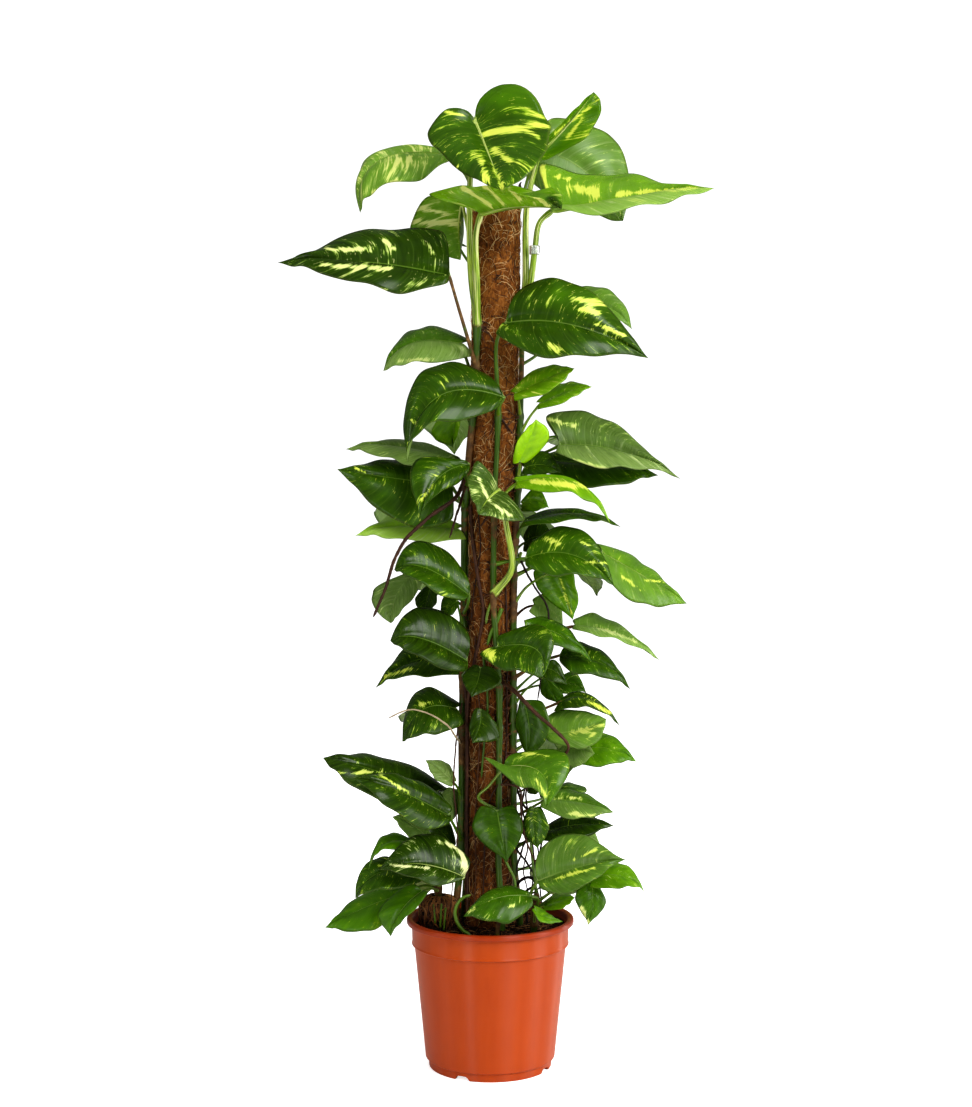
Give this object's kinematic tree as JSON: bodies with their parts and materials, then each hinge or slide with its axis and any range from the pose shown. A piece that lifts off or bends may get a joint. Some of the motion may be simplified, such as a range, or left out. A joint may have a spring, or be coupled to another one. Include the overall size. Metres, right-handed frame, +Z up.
{
  "type": "potted pothos plant",
  "caption": "Tall climbing pothos on a coir moss pole in a glossy terracotta-coloured nursery pot, with heart-shaped variegated leaves and hanging aerial roots.",
  "frame": {"origin": "centre of the pot's base, on the plane it stands on", "axes": "+Z up along the moss pole, -Y towards the side seen in the picture, +X to that side's right"},
  "size_m": [0.6097, 0.3797, 1.3871],
  "materials": {
    "pot_plastic": "glossy injection-moulded plastic, terracotta orange",
    "peat": "dark fibrous peat and coir, matt",
    "stake_wood": "rough wooden stake",
    "coir": "brown coir fibre, matt and hairy",
    "foliage": "waxy green leaf with cream and yellow variegation",
    "green_stalk": "smooth green stalk",
    "clear_plastic": "milky clear plastic"
  },
  "bodies": {
    "root": {"pot": "pot_plastic", "soil": "peat", "pole_core": "stake_wood", "coir_sleeve": "coir", "stem_left": "foliage", "stem_front": "foliage", "stem_right": "foliage", "stem_back_left": "foliage", "stem_back_right": "foliage", "stem_back": "foliage", "shoot_plug": "foliage", "shoot_low": "foliage", "shoot_low_right": "foliage", "loop_stalk": "green_stalk", "plant_clip": "clear_plastic"}
  },
  "joints": []
}
